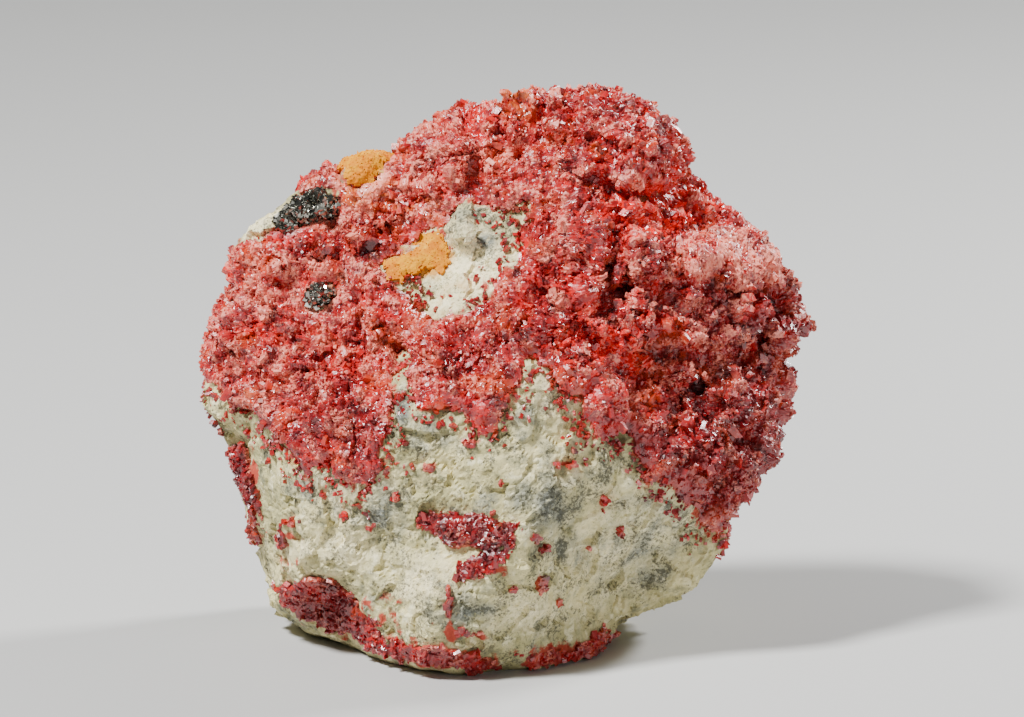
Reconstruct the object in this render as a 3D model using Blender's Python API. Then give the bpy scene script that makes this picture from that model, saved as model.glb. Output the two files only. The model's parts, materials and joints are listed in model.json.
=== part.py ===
"""A hand specimen of realgar: pale altered rock, with a thick crust of red crystals over its upper front, top
and right side, a lens, seams and a lined hollow of the same crystals lower down, two powdery orange patches
and two clusters of dark metallic crystals.

The stone stands on its flat base at z = 0, with its front to -Y. Its shapes are drawn in millimetres on a
plane through the stone's heart that leans back by LEAN: u runs to the right, w up the plane, and c out of
it, towards whoever looks at the stone.
"""

import math
from collections import namedtuple

import bmesh
import bpy
import numpy as np
from mathutils import Vector, noise

MM = 0.001

# Driving dimensions, in millimetres and radians.
LEAN = math.radians(12)
HEART_HEIGHT = 39.3
FACE_DEPTH = 26.0
BACK_DEPTH = 25.0
CRUST_EDGE = 1.0
CRUST_FULL = 4.5
CRUST_RAMP = 8.0
SEATING_GAP = 0.3
SIDE_GAP = 0.2
BASE_CLEARANCE = 0.8

# The stone is shaped from a ball. These say how finely the ball is divided, how much denser it is towards the
# front, how much denser its broad faces are than its sides, and how square its shoulders are. Near a small
# mineral that is turned to the front it is divided once more.
CUTS = 12
CROWDING = 0.22
FLATTENING = 1.2
BOXINESS = 3.6
REFINED_REACH = 1.5
REFINED_FACING = 0.15

# An outline's cut runs through a vertex that is nearer to it than this share of an edge, or this many mm.
SNAP_SHARE = 0.2
SNAP_LENGTH = 0.7
NORMAL_SMOOTHING = 7
SHARPEST_SHELL = 1.5

# The stone's outline as it is looked at, anticlockwise from the tip on the right.
STONE_OUTLINE = [
    (46.0, 7.5), (45.5, 9.5), (43.5, 12.5), (42.5, 16.0), (38.0, 18.5), (35.5, 22.0), (32.5, 25.5),
    (31.0, 27.0), (28.0, 30.5), (23.5, 36.5), (20.0, 39.0), (19.0, 43.0), (12.5, 43.5), (6.5, 42.0),
    (3.5, 43.5), (-1.0, 42.5), (-5.5, 40.0), (-12.0, 36.5), (-19.0, 33.5), (-25.0, 32.5), (-29.0, 31.5),
    (-32.5, 28.0), (-35.5, 25.0), (-38.5, 24.5), (-42.0, 20.5), (-42.5, 13.5), (-44.5, 8.0), (-45.0, 0.5),
    (-46.0, -3.0), (-43.5, -7.5), (-41.0, -11.5), (-40.5, -17.0), (-38.0, -23.5), (-36.5, -29.0),
    (-37.5, -34.0), (-35.0, -37.0), (-31.0, -39.0), (-26.5, -39.5), (-22.5, -40.5), (-20.5, -42.0),
    (-12.5, -43.5), (-4.5, -43.0), (2.0, -43.5), (7.0, -44.5), (10.0, -43.0), (13.5, -41.0), (16.0, -38.0),
    (24.0, -35.0), (27.5, -32.0), (31.5, -26.5), (34.5, -19.5), (38.5, -16.0), (40.0, -9.5), (42.0, -3.5),
    (40.0, 2.0), (45.5, 5.0),
]

# How far the outline's own line stands in front of the heart's plane, by bearing in degrees. Along the base
# this is where the stone meets what it stands on.
RIM_DEPTHS = [
    (-150, -4.0), (-128, -8.0), (-106, 12.0), (-84, 14.0), (-68, 0.0), (-40, 4.0), (0, -2.0), (45, 3.0),
    (100, 2.0), (150, 5.0), (180, -2.0),
]

# Broken faces of the stone: each is a depth at the heart's centre and how that depth changes with u and w.
FRONT_FACES = [
    (FACE_DEPTH - 0.4, 0.34, -0.46),
    (FACE_DEPTH + 2.6, -0.50, -0.06),
    (FACE_DEPTH + 0.8, 0.02, 0.09),
    (FACE_DEPTH + 70.0, 2.20, 0.10),
    (FACE_DEPTH + 22.0, -0.75, 0.85),
]
BACK_FACES = [
    (BACK_DEPTH, 0.10, -0.20),
    (BACK_DEPTH + 5.0, 0.05, -0.70),
    (BACK_DEPTH + 25.0, -0.90, 0.10),
    (BACK_DEPTH + 24.0, 0.80, -0.10),
    (BACK_DEPTH + 6.0, 0.05, 0.12),
]
LEAST_FRONT = 7.0
LEAST_BACK = 11.0
FACE_BLEND = 3.0

# Behind its edge the stone loses the outline's points and notches, over this many degrees to each side.
BACK_SMOOTHING = 20
BACK_SMOOTHING_STEP = 4

# Lumps, ledges and hollows of the front: u, w, reach across, reach upwards and height.
FRONT_RELIEF = [
    (19.5, 34.0, 8.0, 5.0, 4.0),
    (20.0, 26.5, 8.0, 2.2, -3.5),
    (28.0, 23.0, 8.0, 3.5, -2.5),
    (33.0, 17.0, 9.0, 2.6, 3.0),
    (29.0, 7.0, 9.0, 8.0, 3.0),
    (8.5, 20.0, 3.4, 9.0, 3.0),
    (14.5, 17.0, 2.4, 5.0, -2.5),
    (3.5, 20.0, 2.2, 6.0, -1.5),
    (27.0, -10.0, 7.0, 7.0, 2.2),
    (20.5, -3.0, 2.5, 6.0, -2.0),
    (14.0, -4.5, 4.5, 4.0, 2.2),
    (40.0, 9.5, 3.5, 3.5, -1.8),
    (37.5, 2.5, 2.5, 3.0, -2.5),
    (-6.0, 0.0, 7.0, 6.0, 2.0),
    (-24.0, -8.0, 9.0, 6.0, 1.6),
    (-17.0, 6.0, 3.0, 6.0, -1.6),
    (-36.0, 14.0, 6.0, 5.0, 1.8),
    (-14.0, 29.0, 12.0, 4.0, 1.6),
    (-8.0, 15.0, 7.0, 5.0, -1.6),
    (-6.5, 20.7, 2.2, 2.2, 1.8),
    (-27.8, -34.6, 5.5, 3.4, -8.0),
    (-21.2, -38.6, 3.4, 2.4, -5.0),
    (-5.0, -23.0, 7.0, 2.6, -1.0),
    (3.0, -33.0, 12.0, 6.0, 1.0),
    (-28.0, -20.0, 9.0, 7.0, -1.4),
    (18.0, -22.0, 9.0, 6.0, 0.8),
]
RELIEF_FADE = 0.35

# The broken rock's own unevenness, and the lumps of two of the minerals: how wide and how high each kind is.
UNEVENNESS = [(14.0, 1.6), (6.0, 0.8)]
CRUST_LUMPS = [(9.0, 4.0), (4.2, 2.2)]
METAL_LUMPS = [(2.4, 2.2)]

# Dark pits in the crust: u, w, radius and depth. Faces are divided where a pit is deeper than the last value.
CRUST_PITS = [
    (4.5, 36.6, 1.8, 3.0), (1.8, 31.8, 1.6, 2.6), (-4.8, 28.2, 1.6, 2.4), (-17.2, 26.0, 1.6, 2.2),
    (15.5, 27.6, 2.2, 3.2), (22.0, 27.2, 2.2, 3.2), (16.0, 11.0, 1.8, 2.6), (37.0, 12.5, 1.8, 2.4),
]
SHALLOWEST_PIT = 0.4

# The crust's outline on the front and on the back. Outlines that pass the stone's own run past it on purpose.
FAR = 60.0
CRUST_FRONT = [
    (-FAR, -1.0), (-45.5, -1.0), (-41.5, -5.0), (-38.0, -5.5), (-33.0, -10.5), (-29.5, -15.5),
    (-26.5, -12.5), (-24.0, -16.5), (-19.0, -15.5), (-17.5, -6.5), (-16.0, 0.0), (-13.5, -5.0),
    (-9.0, -4.5), (-4.5, -9.0), (-1.5, -6.5), (3.0, 1.5), (7.0, -2.5), (11.5, -2.5), (11.0, -8.0),
    (15.0, -9.5), (18.0, -10.0), (21.0, -15.5), (26.0, -19.0), (29.0, -23.5), (31.5, -24.0),
    (33.5, -21.5), (FAR, -21.5), (FAR, FAR), (-FAR, FAR),
]
CRUST_BACK = [
    (-FAR, -1.0), (-45.5, -1.0), (-38.0, 4.0), (-31.0, 8.0), (-27.0, 17.0), (-15.0, 22.0), (-4.0, 20.0),
    (6.0, 26.0), (17.0, 22.0), (24.0, 13.0), (22.0, 2.0), (29.0, -7.0), (27.0, -17.0), (33.5, -21.5),
    (FAR, -21.5), (FAR, FAR), (-FAR, FAR),
]

# Where bare rock shows through the crust.
BARE_WINDOW = [
    (-19.0, 16.0), (-13.5, 19.5), (-10.0, 22.0), (-7.5, 25.5), (-2.5, 24.5), (3.5, 26.0), (1.5, 21.5),
    (1.0, 17.0), (-2.5, 12.5), (-6.0, 9.0), (-11.5, 8.0), (-14.5, 11.5), (-18.0, 14.0),
]
BARE_CORNER = [
    (-44.0, 19.5), (-41.5, 25.0), (-34.0, 30.0), (-31.5, 28.5), (-32.0, 26.0), (-35.0, 22.5), (-35.5, 21.0),
    (-39.0, 20.3),
]

# How far growths that lie on the stone's edge go round it, as a share of the half turn behind the edge.
WRAP = 0.18
WRAP_STEEPNESS = 30.0

# A growth is a layer on the rock: its outline, whether it goes round the stone's edge, its thickness at its
# rim and inside, how far in it reaches that, its lumps, and its look as a colour, roughness and metallic value.
Growth = namedtuple("Growth", "outline round_edge rim full ramp lumps look")
REALGAR = ("a8443c", 0.35, 0.0)
ORPIMENT = ("df9b51", 0.8, 0.0)
METALLIC = ("4a463e", 0.3, 0.8)
ROCK = ("bbb496", 0.9, 0.0)
GROWTHS = {
    "metallic_cluster_upper": Growth([
        (-35.2, 22.5), (-33.0, 25.0), (-30.0, 27.0), (-26.0, 27.0), (-26.0, 23.5), (-30.5, 22.5),
        (-34.0, 21.0),
    ], False, 0.9, 2.0, 1.2, METAL_LUMPS, METALLIC),
    "metallic_cluster_lower": Growth([
        (-30.3, 12.2), (-28.7, 13.8), (-26.2, 13.6), (-25.8, 11.8), (-28.2, 9.8), (-30.2, 10.2),
    ], False, 0.9, 1.8, 1.0, METAL_LUMPS, METALLIC),
    "orpiment_top": Growth([
        (-25.5, 36.0), (-25.8, 31.5), (-23.0, 28.0), (-20.5, 28.5), (-17.0, 32.0), (-16.5, 36.0),
    ], True, 0.6, 1.5, 2.5, [], ORPIMENT),
    "orpiment_window": Growth([
        (-19.0, 16.0), (-13.5, 19.5), (-10.0, 22.0), (-9.0, 19.0), (-9.0, 16.0), (-12.5, 15.5),
        (-17.0, 13.6),
    ], False, 0.6, 1.1, 2.5, [], ORPIMENT),
    "realgar_lens": Growth([
        (-14.5, -21.2), (-10.0, -20.2), (-4.0, -20.4), (1.5, -21.8), (2.0, -24.0), (0.0, -26.5),
        (-4.5, -25.8), (-9.5, -24.2), (-12.5, -22.8),
    ], False, 0.6, 1.2, 2.0, [], REALGAR),
    "realgar_vug_lining": Growth([
        (-34.5, -31.8), (-28.0, -30.6), (-24.0, -32.4), (-20.5, -35.8), (-16.5, -39.5), (-18.0, -41.4),
        (-22.5, -39.6), (-26.5, -38.2), (-31.5, -37.0),
    ], False, 0.6, 1.0, 2.0, [], REALGAR),
    "realgar_base_seam": Growth([
        (1.5, -41.0), (6.0, -39.6), (10.0, -39.8), (12.0, -38.2), (13.5, -38.6), (14.5, -41.0),
        (10.0, -48.0), (2.0, -48.0),
    ], True, 0.6, 1.2, 2.0, [], REALGAR),
    "realgar_edge_seam": Growth([
        (-42.5, -8.5), (-39.0, -8.5), (-37.4, -15.0), (-36.0, -21.5), (-36.8, -25.5), (-38.6, -25.5),
        (-40.2, -19.0), (-42.5, -13.0),
    ], True, 0.6, 1.1, 1.5, [], REALGAR),
}
CRUST = Growth(CRUST_FRONT, True, CRUST_EDGE, CRUST_FULL, CRUST_RAMP, CRUST_LUMPS, REALGAR)


def smooth_step(low, high, value):
    """0 below low, 1 above high, and a smooth rise between them."""
    share = np.clip((value - low) / (high - low), 0, 1)
    return share * share * (3 - 2 * share)


def lesser(a, b):
    """The smaller of two depths, rounded where they meet."""
    share = np.clip(0.5 + 0.5 * (b - a) / FACE_BLEND, 0, 1)
    return b + (a - b) * share - FACE_BLEND * share * (1 - share)


def depth_of_faces(faces, least, u, w):
    """How deep the stone is at (u, w) when it is broken along these faces, and nowhere thinner than this."""
    depth = np.full_like(u, FAR)
    for start, across, upwards in faces:
        depth = lesser(depth, start + across * u + upwards * w)
    return -lesser(-depth, -least)


def inside(outline, places):
    """How far inside an outline each place lies, in mm, and below 0 outside it."""
    starts = np.array(outline)
    sides = np.roll(starts, -1, axis=0) - starts
    offsets = places[:, None, :2] - starts
    along = np.clip((offsets * sides).sum(2) / (sides**2).sum(1), 0, 1)
    distance = np.linalg.norm(offsets - along[..., None] * sides, axis=2).min(1)
    starts_above = offsets[..., 1] < 0
    crosses = starts_above != (offsets[..., 1] < sides[:, 1])
    slopes = sides[:, 0] / np.where(sides[:, 1] == 0, 1, sides[:, 1])
    to_the_left = offsets[..., 0] < offsets[..., 1] * slopes
    odd = (crosses & to_the_left).sum(1) % 2 == 1
    return np.where(odd, distance, -distance)


def outline_radius(bearing, out):
    """The stone's radius in mm at each bearing, with the outline's points taken off behind the edge."""
    outline = np.array(STONE_OUTLINE)
    bearings = np.arctan2(outline[:, 1], outline[:, 0])
    crust_stands = (SEATING_GAP + CRUST_EDGE) * smooth_step(-2, 2, inside(CRUST_FRONT, outline))
    radii = np.hypot(*outline.T) - crust_stands

    def radius_at(turn):
        return np.interp(bearing + math.radians(turn), bearings, radii, period=2 * math.pi)

    turns = range(-BACK_SMOOTHING, BACK_SMOOTHING + 1, BACK_SMOOTHING_STEP)
    smooth = np.mean([radius_at(turn) for turn in turns], axis=0)
    radius = radius_at(0)
    return radius + smooth_step(0, -0.35, out) * (np.minimum(radius, smooth) - radius)


def skin(directions):
    """Where the stone's skin lies in each direction from its heart, as (u, w, c) in mm, and how far the skin
    there is turned to the front, from -1 to 1."""
    leaned = directions * np.array([1, 1, FLATTENING]) + np.array([0, 0, CROWDING])
    leaned /= np.linalg.norm(leaned, axis=1)[:, None]
    across = np.hypot(leaned[:, 0], leaned[:, 1])
    bearing = np.arctan2(leaned[:, 1], leaned[:, 0])
    out = leaned[:, 2]
    squared = (across**BOXINESS + np.abs(out) ** BOXINESS) ** (-1 / BOXINESS)
    shoulder = np.abs(out) * squared
    reach = outline_radius(bearing, out) * across * squared
    u = reach * np.cos(bearing)
    w = reach * np.sin(bearing)

    rim_bearings, rim_depths = np.array(RIM_DEPTHS, dtype=float).T
    rim = np.interp(np.degrees(bearing), rim_bearings, rim_depths, period=360) * (across * squared) ** 2
    front = rim + shoulder * depth_of_faces(FRONT_FACES, LEAST_FRONT, u, w)
    back = rim - shoulder * depth_of_faces(BACK_FACES, LEAST_BACK, u, w)
    for centre_u, centre_w, reach_u, reach_w, height in FRONT_RELIEF:
        near = np.exp(-(((u - centre_u) / reach_u) ** 2) - ((w - centre_w) / reach_w) ** 2)
        front += height * near * smooth_step(0, RELIEF_FADE, shoulder)
    return np.column_stack([u, w, np.where(out > 0, front, back)]), out


def minerals(places, out):
    """How far inside each mineral's outline each place lies, in mm, and below 0 outside it."""
    round_edge = (out + WRAP) * WRAP_STEEPNESS
    in_front = out * FAR
    reaches = {
        name: np.minimum(inside(growth.outline, places), round_edge if growth.round_edge else in_front)
        for name, growth in GROWTHS.items()
    }
    corner = np.minimum(inside(BARE_CORNER, places), round_edge)
    window = np.minimum(inside(BARE_WINDOW, places), in_front)
    share = smooth_step(-WRAP, WRAP, out)
    crust = share * inside(CRUST_FRONT, places) + (1 - share) * inside(CRUST_BACK, places)
    kept_clear = np.max([corner, window, *reaches.values()], axis=0)
    reaches["realgar_crust"] = np.minimum(crust, -kept_clear)
    return reaches


def in_the_open(places):
    """World places, in mm, of places given as (u, w, c)."""
    u, w, c = places.T
    y = w * math.sin(LEAN) - c * math.cos(LEAN)
    z = HEART_HEIGHT + w * math.cos(LEAN) + c * math.sin(LEAN)
    return np.column_stack([u, y, z])


def bumps(kinds, place):
    """The height, in mm, of uneven ground at a world place."""
    return sum(height * noise.noise(place / width) for width, height in kinds)


def lumps(kinds, place):
    """The height, in mm, of rounded lumps that meet in creases, at a world place."""
    nearest = [(noise.voronoi(place / width)[0][0], height) for width, height in kinds]
    return sum(height * (0.5 - min(distance, 1.0)) for distance, height in nearest)


def pit_depth(place):
    """The depth, in mm, of the crust's pits at a world place in front of the heart's plane."""
    if place.y > 0:
        return 0.0
    w = place.y * math.sin(LEAN) + (place.z - HEART_HEIGHT) * math.cos(LEAN)
    return sum(
        depth * math.exp(-((place.x - pit_u) ** 2 + (w - pit_w) ** 2) / radius**2)
        for pit_u, pit_w, radius, depth in CRUST_PITS
    )


def divided_ball():
    """A ball of unit directions from the stone's heart, divided evenly, and finer where the minerals are
    small."""
    ball = bmesh.new()
    bmesh.ops.create_cube(ball, size=2)
    bmesh.ops.subdivide_edges(ball, edges=ball.edges[:], cuts=CUTS, use_grid_fill=True)
    for vert in ball.verts:
        vert.co = Vector([math.tan(x * math.pi / 4) for x in vert.co]).normalized()
    ball.verts.index_update()
    places, out = skin(np.array([vert.co[:] for vert in ball.verts]))
    reaches = minerals(places, out)
    small = np.max([reaches[name] for name in GROWTHS], axis=0)
    small = np.where(out > REFINED_FACING, small, -FAR)
    near = [edge for edge in ball.edges if max(small[v.index] for v in edge.verts) > -REFINED_REACH]
    bmesh.ops.subdivide_edges(ball, edges=near, cuts=1, use_grid_fill=True)
    for vert in ball.verts:
        vert.co.normalize()
    bmesh.ops.triangulate(ball, faces=ball.faces[:])
    return ball


def smoothed_normals(mesh):
    """Each vertex's outward direction, averaged over its surroundings."""
    mesh.normal_update()
    normals = {vert: vert.normal.copy() for vert in mesh.verts}
    for _ in range(NORMAL_SMOOTHING):
        around = {}
        for vert, normal in normals.items():
            total = normal.copy()
            for edge in vert.link_edges:
                total += normals[edge.other_vert(vert)]
            around[vert] = total.normalized()
        normals = around
    return normals


def triangulate(mesh):
    """Split every face that has more than three sides."""
    bmesh.ops.triangulate(mesh, faces=[face for face in mesh.faces if len(face.verts) > 3])


def face_out(shape):
    """Turn all faces of a closed shape outwards."""
    bmesh.ops.recalc_face_normals(shape, faces=shape.faces[:])
    if shape.calc_volume(signed=True) < 0:
        bmesh.ops.reverse_faces(shape, faces=shape.faces[:])


def level_base(stone):
    """Break the stone off flat at the height it stands on."""
    for vert in stone.verts:
        if abs(vert.co.z) < SNAP_LENGTH:
            vert.co.z = 0
    everything = stone.verts[:] + stone.edges[:] + stone.faces[:]
    cut = bmesh.ops.bisect_plane(
        stone, geom=everything, dist=0.01, plane_co=(0, 0, 0), plane_no=(0, 0, -1), clear_outer=True
    )
    rim = [part for part in cut["geom_cut"] if isinstance(part, bmesh.types.BMEdge)]
    bmesh.ops.contextual_create(stone, geom=rim)
    triangulate(stone)
    face_out(stone)


def score(mesh, layer):
    """Cut the mesh's triangles along the line where a layer's value passes 0."""
    for edge in mesh.edges:
        start, end = edge.verts
        if start[layer] * end[layer] < 0:
            share = start[layer] / (start[layer] - end[layer])
            near = min(0.5, max(SNAP_SHARE, SNAP_LENGTH / edge.calc_length()))
            if share <= near:
                start[layer] = 0
            elif share >= 1 - near:
                end[layer] = 0
    for edge in [edge for edge in mesh.edges if edge.verts[0][layer] * edge.verts[1][layer] < 0]:
        start, end = edge.verts
        share = start[layer] / (start[layer] - end[layer])
        _, vert = bmesh.utils.edge_split(edge, start, share)
        vert[layer] = 0
    on_the_line = [vert for vert in mesh.verts if vert[layer] == 0]
    bmesh.ops.connect_verts(mesh, verts=on_the_line)
    triangulate(mesh)


def shaped_stone():
    """The stone's skin as it is seen, cut along the outlines of its minerals. Its vertices know how deep
    inside each outline they lie, which way is out and how far they are turned to the front."""
    stone = divided_ball()
    places, out = skin(np.array([vert.co[:] for vert in stone.verts]))
    reaches = minerals(places, out)
    for vert, place in zip(stone.verts, in_the_open(places)):
        vert.co = Vector(place)
    for vert, outward in smoothed_normals(stone).items():
        vert.co += outward * bumps(UNEVENNESS, vert.co)
    heights = np.array([vert.co.z for vert in stone.verts])
    reaches = {name: np.minimum(reach, heights - BASE_CLEARANCE) for name, reach in reaches.items()}
    for name, values in [*reaches.items(), ("facing", out), ("grown", np.zeros_like(out))]:
        layer = stone.verts.layers.float.new(name)
        for vert, value in zip(stone.verts, values):
            vert[layer] = value
    outward = stone.verts.layers.float_vector.new("outward")
    for vert, normal in smoothed_normals(stone).items():
        vert[outward] = normal
    level_base(stone)
    for name in reaches:
        score(stone, stone.verts.layers.float[name])
    return stone


def sink_rock(stone):
    """Take the crust's thickness out of the rock under it, less what the crust has at its own edge."""
    crust = stone.verts.layers.float["realgar_crust"]
    outward = stone.verts.layers.float_vector["outward"]
    for vert in stone.verts:
        vert.co -= vert[outward] * (CRUST_FULL - CRUST_EDGE) * smooth_step(0, CRUST_RAMP, vert[crust])
    stone.normal_update()


def largest_sheet(piece):
    """Delete all faces but the largest connected sheet of them."""
    left = set(piece.faces)
    sheets = []
    while left:
        sheet = {left.pop()}
        front = list(sheet)
        while front:
            beside = {face for edge in front.pop().edges for face in edge.link_faces} & left
            left -= beside
            sheet |= beside
            front.extend(beside)
        sheets.append(sheet)
    sheets.sort(key=lambda sheet: sum(face.calc_area() for face in sheet))
    for sheet in sheets[:-1]:
        bmesh.ops.delete(piece, geom=list(sheet), context="FACES")


def open_pinches(piece):
    """Clear the faces round each vertex where the sheet touches itself at a point."""
    while True:
        pinched = [v for v in piece.verts if sum(edge.is_boundary for edge in v.link_edges) > 2]
        if not pinched:
            return
        faces = {face for vert in pinched for face in vert.link_faces}
        bmesh.ops.delete(piece, geom=list(faces), context="FACES")
        largest_sheet(piece)


def draw_in_rim(piece):
    """Move the sheet's rim inwards along the sheet by SIDE_GAP."""
    ways = {}
    for edge in piece.edges:
        if edge.is_boundary:
            face = edge.link_faces[0]
            way = face.normal.cross(edge.verts[1].co - edge.verts[0].co).normalized()
            if way.dot(face.calc_center_median() - edge.verts[0].co) < 0:
                way.negate()
            for vert in edge.verts:
                ways.setdefault(vert, []).append(way)
    for vert, (first, second) in ways.items():
        way = (first + second).normalized()
        vert.co += way * SIDE_GAP / max(0.5, way.dot(first))


def divide_outer(piece, measure):
    """Divide the edges on a growth's outer side where a measure of both their ends is above 0."""
    grown = piece.verts.layers.float["grown"]

    def is_outer(face):
        return all(vert[grown] == 1 for vert in face.verts)

    edges = [
        edge for edge in piece.edges
        if all(is_outer(face) for face in edge.link_faces) and min(map(measure, edge.verts)) > 0
    ]
    bmesh.ops.subdivide_edges(piece, edges=edges, cuts=1)
    triangulate(piece)


def sheet_on(stone, name):
    """The stone's faces inside a growth's outline, lifted off the rock by the seating gap."""
    piece = stone.copy()
    reach = piece.verts.layers.float[name]
    outside = [face for face in piece.faces if sum(vert[reach] for vert in face.verts) <= 0]
    bmesh.ops.delete(piece, geom=outside, context="FACES")
    largest_sheet(piece)
    open_pinches(piece)
    shells = {vert: min(vert.calc_shell_factor(), SHARPEST_SHELL) for vert in piece.verts}
    lifts = {vert: vert.normal * shell * SEATING_GAP for vert, shell in shells.items()}
    draw_in_rim(piece)
    for vert, lift in lifts.items():
        vert.co += lift
    return piece


def grow(stone, name, growth):
    """A growth's closed shell on the stone, thickened outwards from its sheet, with its lumps and pits."""
    piece = sheet_on(stone, name)
    reach = piece.verts.layers.float[name]
    facing = piece.verts.layers.float["facing"]
    grown = piece.verts.layers.float["grown"]
    outward = piece.verts.layers.float_vector["outward"]
    made = bmesh.ops.extrude_face_region(piece, geom=piece.faces[:], use_keep_orig=True)
    for vert in [part for part in made["geom"] if isinstance(part, bmesh.types.BMVert)]:
        share = smooth_step(0, growth.ramp, vert[reach])
        vert.co += vert[outward] * (growth.rim + (growth.full - growth.rim) * share)
        vert[grown] = 1
    if growth.lumps:
        divide_outer(piece, lambda vert: vert[facing])
    if growth is CRUST:
        divide_outer(piece, lambda vert: pit_depth(vert.co) - SHALLOWEST_PIT)
    for vert in piece.verts:
        if vert[grown] == 1:
            height = lumps(growth.lumps, vert.co)
            if growth is CRUST:
                height -= pit_depth(vert.co)
            vert.co += vert[outward].normalized() * height * smooth_step(0, growth.ramp, vert[reach])
            vert.co.z = max(vert.co.z, SIDE_GAP)
    face_out(piece)
    return piece


def linear(colour):
    """A screen colour, such as "c06050", as the linear values that a material takes."""
    channels = [int(colour[start:start + 2], 16) / 255 for start in (0, 2, 4)]
    return tuple(x / 12.92 if x <= 0.04045 else ((x + 0.055) / 1.055) ** 2.4 for x in channels) + (1,)


def material(name, colour, roughness, metallic):
    """A Principled material."""
    made = bpy.data.materials.new(name)
    made.use_nodes = True
    surface = made.node_tree.nodes["Principled BSDF"]
    surface.inputs["Base Color"].default_value = linear(colour)
    surface.inputs["Roughness"].default_value = roughness
    surface.inputs["Metallic"].default_value = metallic
    made.diffuse_color = linear(colour)
    return made


def add_node(name, shape, look, collection):
    """Add a named object made from a shape in mm, with a material of its own."""
    bmesh.ops.scale(shape, vec=(MM, MM, MM), verts=shape.verts[:])
    mesh = bpy.data.meshes.new(name)
    shape.to_mesh(mesh)
    shape.free()
    mesh.materials.append(material(name, *look))
    collection.objects.link(bpy.data.objects.new(name, mesh))


def main():
    for old in list(bpy.data.objects):
        bpy.data.objects.remove(old, do_unlink=True)
    collection = bpy.data.collections.new("realgar_specimen")
    bpy.context.scene.collection.children.link(collection)

    stone = shaped_stone()
    sink_rock(stone)
    for name, growth in {**GROWTHS, "realgar_crust": CRUST}.items():
        add_node(name, grow(stone, name, growth), growth.look, collection)
    add_node("matrix_stone", stone, ROCK, collection)


main()
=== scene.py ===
"""The looks of a hand specimen of realgar: pale altered rock under a thick red druse, with a red lens, seams
and a lined hollow, two powdery orange patches and two clusters of dark metallic crystals.

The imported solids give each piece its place, size and main forms. This script gives them their broken
surfaces, their crystals and their colours. Shapes are worked on in millimetres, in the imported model's own
frame.
"""

import json
import math

import bmesh
import bpy
import numpy as np
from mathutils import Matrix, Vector
from mathutils.noise import noise as noise_at
from mathutils.bvhtree import BVHTree

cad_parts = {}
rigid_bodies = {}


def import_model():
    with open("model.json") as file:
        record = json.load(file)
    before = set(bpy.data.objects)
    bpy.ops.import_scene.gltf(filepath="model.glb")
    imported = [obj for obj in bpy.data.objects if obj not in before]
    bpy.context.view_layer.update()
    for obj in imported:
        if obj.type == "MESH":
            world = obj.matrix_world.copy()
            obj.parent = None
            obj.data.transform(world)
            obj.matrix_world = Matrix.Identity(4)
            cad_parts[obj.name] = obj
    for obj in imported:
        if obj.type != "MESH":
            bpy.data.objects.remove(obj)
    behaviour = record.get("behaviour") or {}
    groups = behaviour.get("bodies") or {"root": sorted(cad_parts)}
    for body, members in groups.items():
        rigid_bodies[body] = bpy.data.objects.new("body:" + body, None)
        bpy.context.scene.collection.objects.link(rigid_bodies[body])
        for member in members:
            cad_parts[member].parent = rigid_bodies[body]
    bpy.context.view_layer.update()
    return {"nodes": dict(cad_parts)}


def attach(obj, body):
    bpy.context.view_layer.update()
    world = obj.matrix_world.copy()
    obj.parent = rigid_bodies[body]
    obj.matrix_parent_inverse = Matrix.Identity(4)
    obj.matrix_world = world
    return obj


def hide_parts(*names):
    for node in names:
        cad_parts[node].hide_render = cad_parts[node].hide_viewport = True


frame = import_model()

# The stand: a plain pale floor that curves up into a backdrop, soft light from the upper left and a rim
# light from behind on the right, and a camera that looks at the druse from 12 degrees above, as the
# photograph does.
MM = 0.001
HEART_HEIGHT = 39.3
HEART = Vector((0.0, 0.0, HEART_HEIGHT)) * MM
CAMERA_ELEVATION = math.radians(12)
CAMERA_DISTANCE = 1.5
IMAGE_WIDTH = 1024
IMAGE_CENTRE = (0.3, 2.5)
MM_PER_PIXEL = 0.15
SENSOR_WIDTH = 36.0


def linear(colour):
    """A screen colour, such as "c06050", as the linear values that Blender's nodes take."""
    channels = [int(colour[start:start + 2], 16) / 255 for start in (0, 2, 4)]
    return tuple(x / 12.92 if x <= 0.04045 else ((x + 0.055) / 1.055) ** 2.4 for x in channels) + (1.0,)


def add(tree, kind, settings=None, inputs=None):
    """Add a node to a tree. Inputs are values, or other nodes' outputs to link from."""
    made = tree.nodes.new(kind)
    for name, value in (settings or {}).items():
        setattr(made, name, value)
    for name, value in (inputs or {}).items():
        if isinstance(value, bpy.types.NodeSocket):
            tree.links.new(value, made.inputs[name])
        else:
            made.inputs[name].default_value = value
    return made


def combined(tree, first, second, operation="MULTIPLY"):
    """Two values put together by a sum of this kind, a product unless another is asked for."""
    return add(tree, "ShaderNodeMath", {"operation": operation}, {0: first, 1: second}).outputs[0]


def vector_sum(tree, operation, inputs, output="Vector"):
    """The outcome of a sum of this kind with vectors."""
    return add(tree, "ShaderNodeVectorMath", {"operation": operation}, inputs).outputs[output]


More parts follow.
